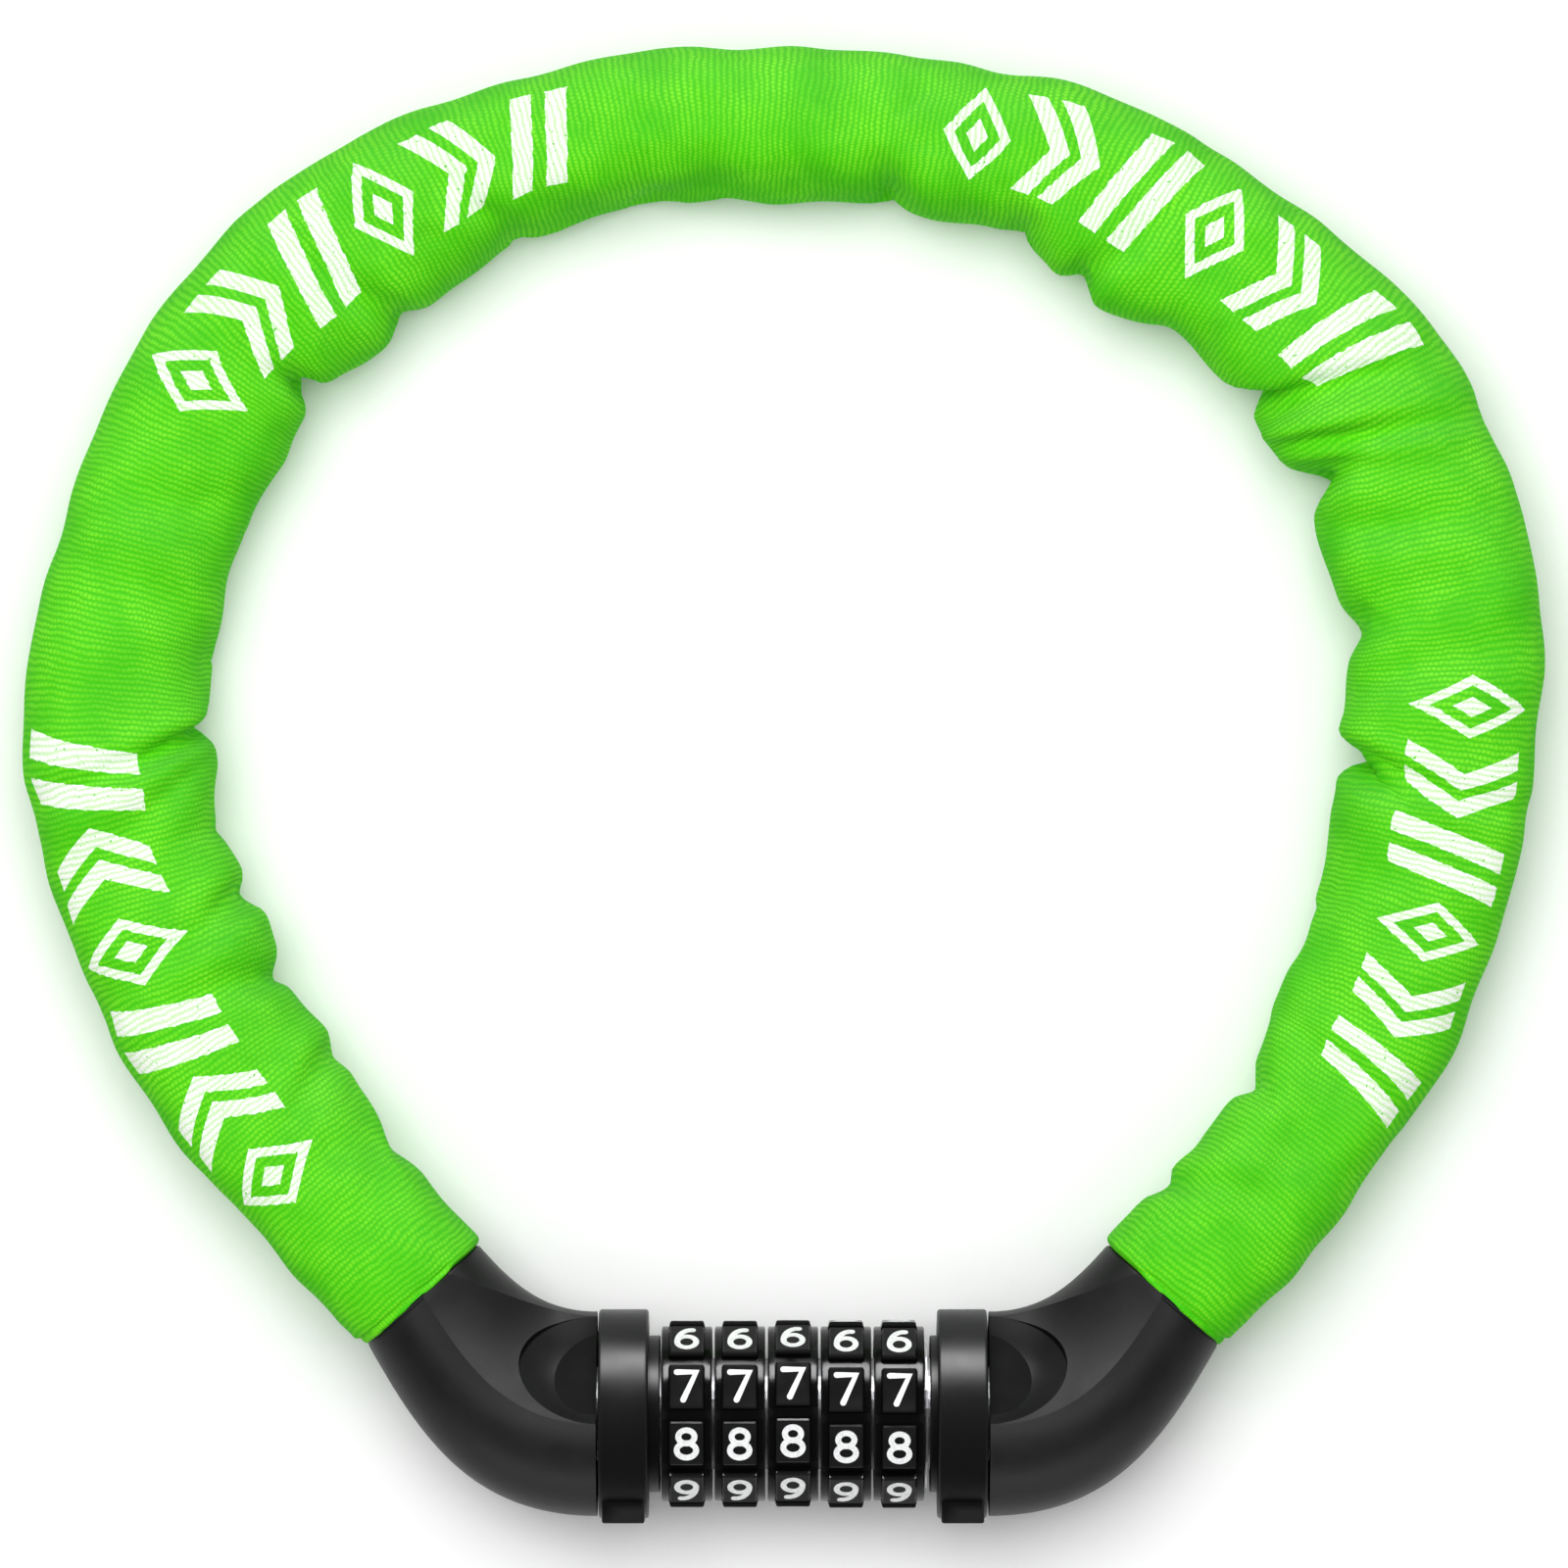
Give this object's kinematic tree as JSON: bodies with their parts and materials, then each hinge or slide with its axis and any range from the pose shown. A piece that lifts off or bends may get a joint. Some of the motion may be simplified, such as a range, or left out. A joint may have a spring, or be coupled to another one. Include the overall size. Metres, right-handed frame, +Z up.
{
  "type": "combination chain lock",
  "caption": "Chain lock with a fabric-sleeved steel chain loop joined by a barrel of number dials between two plastic elbows.",
  "frame": {"origin": "on the floor, under the middle of the whole lock as it lies flat", "axes": "+X along the barrel towards the fixed elbow, +Y from the barrel across the loop, +Z up from the floor"},
  "size_m": [0.2188, 0.2168, 0.0303],
  "materials": {
    "black_plastic": "fine-grained matt charcoal moulding",
    "satin_black": "satin black",
    "gloss_black": "glossy black with white numbers",
    "brass": "machined",
    "bolt_steel": "ground and plated",
    "spring_steel": "spring steel",
    "chain_steel": "zinc-plated hardened wire",
    "cast_zinc": "die-cast zinc alloy",
    "green_fabric": "ribbed woven polyester with white print"
  },
  "bodies": {
    "root": {"barrel_core": "cast_zinc", "retaining_clip": "spring_steel", "wave_washer": "spring_steel", "detent_strip": "spring_steel", "core_cross_pin": "bolt_steel", "right_collar": "satin_black", "right_elbow_shell": "black_plastic", "right_chain_anchor": "cast_zinc", "right_anchor_pin": "bolt_steel", "right_sleeve_ring": "spring_steel", "fabric_sleeve": "green_fabric"},
    "bolt_half": {"lock_bolt": "bolt_steel", "bolt_cross_pin": "bolt_steel", "left_collar": "satin_black", "left_elbow_shell": "black_plastic", "left_chain_anchor": "cast_zinc", "left_anchor_pin": "bolt_steel", "left_sleeve_ring": "spring_steel"},
    "dial_1": {"number_dial_1": "gloss_black", "code_ring_1": "brass"},
    "dial_2": {"number_dial_2": "gloss_black", "code_ring_2": "brass"},
    "dial_3": {"number_dial_3": "gloss_black", "code_ring_3": "brass"},
    "dial_4": {"number_dial_4": "gloss_black", "code_ring_4": "brass"},
    "dial_5": {"number_dial_5": "gloss_black", "code_ring_5": "brass"},
    "link_01": {"chain_link_01": "chain_steel"},
    "link_02": {"chain_link_02": "chain_steel"},
    "link_03": {"chain_link_03": "chain_steel"},
    "link_04": {"chain_link_04": "chain_steel"},
    "link_05": {"chain_link_05": "chain_steel"},
    "link_06": {"chain_link_06": "chain_steel"},
    "link_07": {"chain_link_07": "chain_steel"},
    "link_08": {"chain_link_08": "chain_steel"},
    "link_09": {"chain_link_09": "chain_steel"},
    "link_10": {"chain_link_10": "chain_steel"},
    "link_11": {"chain_link_11": "chain_steel"},
    "link_12": {"chain_link_12": "chain_steel"},
    "link_13": {"chain_link_13": "chain_steel"},
    "link_14": {"chain_link_14": "chain_steel"},
    "link_15": {"chain_link_15": "chain_steel"},
    "link_16": {"chain_link_16": "chain_steel"},
    "link_17": {"chain_link_17": "chain_steel"},
    "link_18": {"chain_link_18": "chain_steel"},
    "link_19": {"chain_link_19": "chain_steel"},
    "link_20": {"chain_link_20": "chain_steel"},
    "link_21": {"chain_link_21": "chain_steel"}
  },
  "joints": [
    {"name": "bolt_pull", "type": "slide", "parent": "root", "child": "bolt_half", "axis": [-1, 0, 0], "range_m": [0, 0.045], "deforming": ["fabric_sleeve"]},
    {"name": "dial_turn_1", "type": "hinge", "parent": "root", "child": "dial_1", "pos_m": [-0.0135, -0.093, 0.0152], "axis": [1, 0, 0], "continuous": true},
    {"name": "dial_turn_2", "type": "hinge", "parent": "root", "child": "dial_2", "pos_m": [-0.0058, -0.093, 0.0152], "axis": [1, 0, 0], "continuous": true},
    {"name": "dial_turn_3", "type": "hinge", "parent": "root", "child": "dial_3", "pos_m": [0.0019, -0.093, 0.0152], "axis": [1, 0, 0], "continuous": true},
    {"name": "dial_turn_4", "type": "hinge", "parent": "root", "child": "dial_4", "pos_m": [0.0096, -0.093, 0.0152], "axis": [1, 0, 0], "continuous": true},
    {"name": "dial_turn_5", "type": "hinge", "parent": "root", "child": "dial_5", "pos_m": [0.0173, -0.093, 0.0152], "axis": [1, 0, 0], "continuous": true},
    {"name": "link_hinge_01", "type": "hinge", "parent": "root", "child": "link_01", "pos_m": [0.05141, -0.08063, 0.0152], "axis": [0, 0, 1], "range_deg": [0, 2.96]},
    {"name": "link_hinge_02", "type": "hinge", "parent": "link_01", "child": "link_02", "pos_m": [0.06375, -0.06689, 0.01473], "axis": [0, 0, 1], "range_deg": [0, 3.74]},
    {"name": "link_hinge_03", "type": "hinge", "parent": "link_02", "child": "link_03", "pos_m": [0.08172, -0.0438, 0.01221], "axis": [0, 0, 1], "range_deg": [0, 2.83]},
    {"name": "link_hinge_04", "type": "hinge", "parent": "link_03", "child": "link_04", "pos_m": [0.08943, -0.02702, 0.01182], "axis": [0, 0, 1], "range_deg": [0, 1.59]},
    {"name": "link_hinge_05", "type": "hinge", "parent": "link_04", "child": "link_05", "pos_m": [0.09569, 0.00168, 0.0119], "axis": [0, 0, 1], "range_deg": [-1.51, 0]},
    {"name": "link_hinge_06", "type": "hinge", "parent": "link_05", "child": "link_06", "pos_m": [0.09606, 0.02014, 0.0119], "axis": [0, 0, 1], "range_deg": [-1.51, 0]},
    {"name": "link_hinge_07", "type": "hinge", "parent": "link_06", "child": "link_07", "pos_m": [0.08829, 0.04847, 0.0119], "axis": [0, 0, 1], "range_deg": [-1.51, 0]},
    {"name": "link_hinge_08", "type": "hinge", "parent": "link_07", "child": "link_08", "pos_m": [0.07824, 0.06396, 0.0119], "axis": [0, 0, 1], "range_deg": [-1.69, 0]},
    {"name": "link_hinge_09", "type": "hinge", "parent": "link_08", "child": "link_09", "pos_m": [0.0543, 0.08097, 0.0119], "axis": [0, 0, 1], "range_deg": [-2.05, 0]},
    {"name": "link_hinge_10", "type": "hinge", "parent": "link_09", "child": "link_10", "pos_m": [0.03751, 0.08867, 0.0119], "axis": [0, 0, 1], "range_deg": [-2.21, 0]},
    {"name": "link_hinge_12", "type": "hinge", "parent": "link_12", "child": "link_11", "pos_m": [-0.00961, 0.09463, 0.0119], "axis": [0, 0, 1], "range_deg": [0, 2.21]},
    {"name": "link_hinge_13", "type": "hinge", "parent": "link_13", "child": "link_12", "pos_m": [-0.03836, 0.08862, 0.0119], "axis": [0, 0, 1], "range_deg": [0, 1.95]},
    {"name": "link_hinge_14", "type": "hinge", "parent": "link_14", "child": "link_13", "pos_m": [-0.05517, 0.08098, 0.0119], "axis": [0, 0, 1], "range_deg": [0, 1.69]},
    {"name": "link_hinge_15", "type": "hinge", "parent": "link_15", "child": "link_14", "pos_m": [-0.07797, 0.06247, 0.0119], "axis": [0, 0, 1], "range_deg": [0, 1.51]},
    {"name": "link_hinge_16", "type": "hinge", "parent": "link_16", "child": "link_15", "pos_m": [-0.0872, 0.04647, 0.0119], "axis": [0, 0, 1], "range_deg": [0, 1.51]},
    {"name": "link_hinge_17", "type": "hinge", "parent": "link_17", "child": "link_16", "pos_m": [-0.09535, 0.01825, 0.0119], "axis": [0, 0, 1], "range_deg": [0, 1.51]},
    {"name": "link_hinge_18", "type": "hinge", "parent": "link_18", "child": "link_17", "pos_m": [-0.0961, -0.0002, 0.0119], "axis": [0, 0, 1], "range_deg": [0, 1.51]},
    {"name": "link_hinge_19", "type": "hinge", "parent": "link_19", "child": "link_18", "pos_m": [-0.08776, -0.02837, 0.01183], "axis": [0, 0, 1], "range_deg": [-1.82, 0]},
    {"name": "link_hinge_20", "type": "hinge", "parent": "link_20", "child": "link_19", "pos_m": [-0.07863, -0.04442, 0.01227], "axis": [0, 0, 1], "range_deg": [-2.93, 0]},
    {"name": "link_hinge_21", "type": "hinge", "parent": "link_21", "child": "link_20", "pos_m": [-0.05977, -0.06679, 0.01479], "axis": [0, 0, 1], "range_deg": [-3.63, 0]},
    {"name": "link_hinge_22", "type": "hinge", "parent": "bolt_half", "child": "link_21", "pos_m": [-0.04759, -0.08066, 0.0152], "axis": [0, 0, 1], "range_deg": [-2.83, 0]}
  ],
  "couplings": [
    {"joint": "link_hinge_01", "follows": "bolt_pull", "rad_per_m": 1.14},
    {"joint": "link_hinge_02", "follows": "bolt_pull", "rad_per_m": 1.44},
    {"joint": "link_hinge_03", "follows": "bolt_pull", "rad_per_m": 1.09},
    {"joint": "link_hinge_04", "follows": "bolt_pull", "rad_per_m": 0.61},
    {"joint": "link_hinge_05", "follows": "bolt_pull", "rad_per_m": -0.58},
    {"joint": "link_hinge_06", "follows": "bolt_pull", "rad_per_m": -0.58},
    {"joint": "link_hinge_07", "follows": "bolt_pull", "rad_per_m": -0.58},
    {"joint": "link_hinge_08", "follows": "bolt_pull", "rad_per_m": -0.65},
    {"joint": "link_hinge_09", "follows": "bolt_pull", "rad_per_m": -0.79},
    {"joint": "link_hinge_10", "follows": "bolt_pull", "rad_per_m": -0.85},
    {"joint": "link_hinge_12", "follows": "bolt_pull", "rad_per_m": 0.85},
    {"joint": "link_hinge_13", "follows": "bolt_pull", "rad_per_m": 0.75},
    {"joint": "link_hinge_14", "follows": "bolt_pull", "rad_per_m": 0.65},
    {"joint": "link_hinge_15", "follows": "bolt_pull", "rad_per_m": 0.58},
    {"joint": "link_hinge_16", "follows": "bolt_pull", "rad_per_m": 0.58},
    {"joint": "link_hinge_17", "follows": "bolt_pull", "rad_per_m": 0.58},
    {"joint": "link_hinge_18", "follows": "bolt_pull", "rad_per_m": 0.58},
    {"joint": "link_hinge_19", "follows": "bolt_pull", "rad_per_m": -0.7},
    {"joint": "link_hinge_20", "follows": "bolt_pull", "rad_per_m": -1.13},
    {"joint": "link_hinge_21", "follows": "bolt_pull", "rad_per_m": -1.4},
    {"joint": "link_hinge_22", "follows": "bolt_pull", "rad_per_m": -1.09}
  ]
}
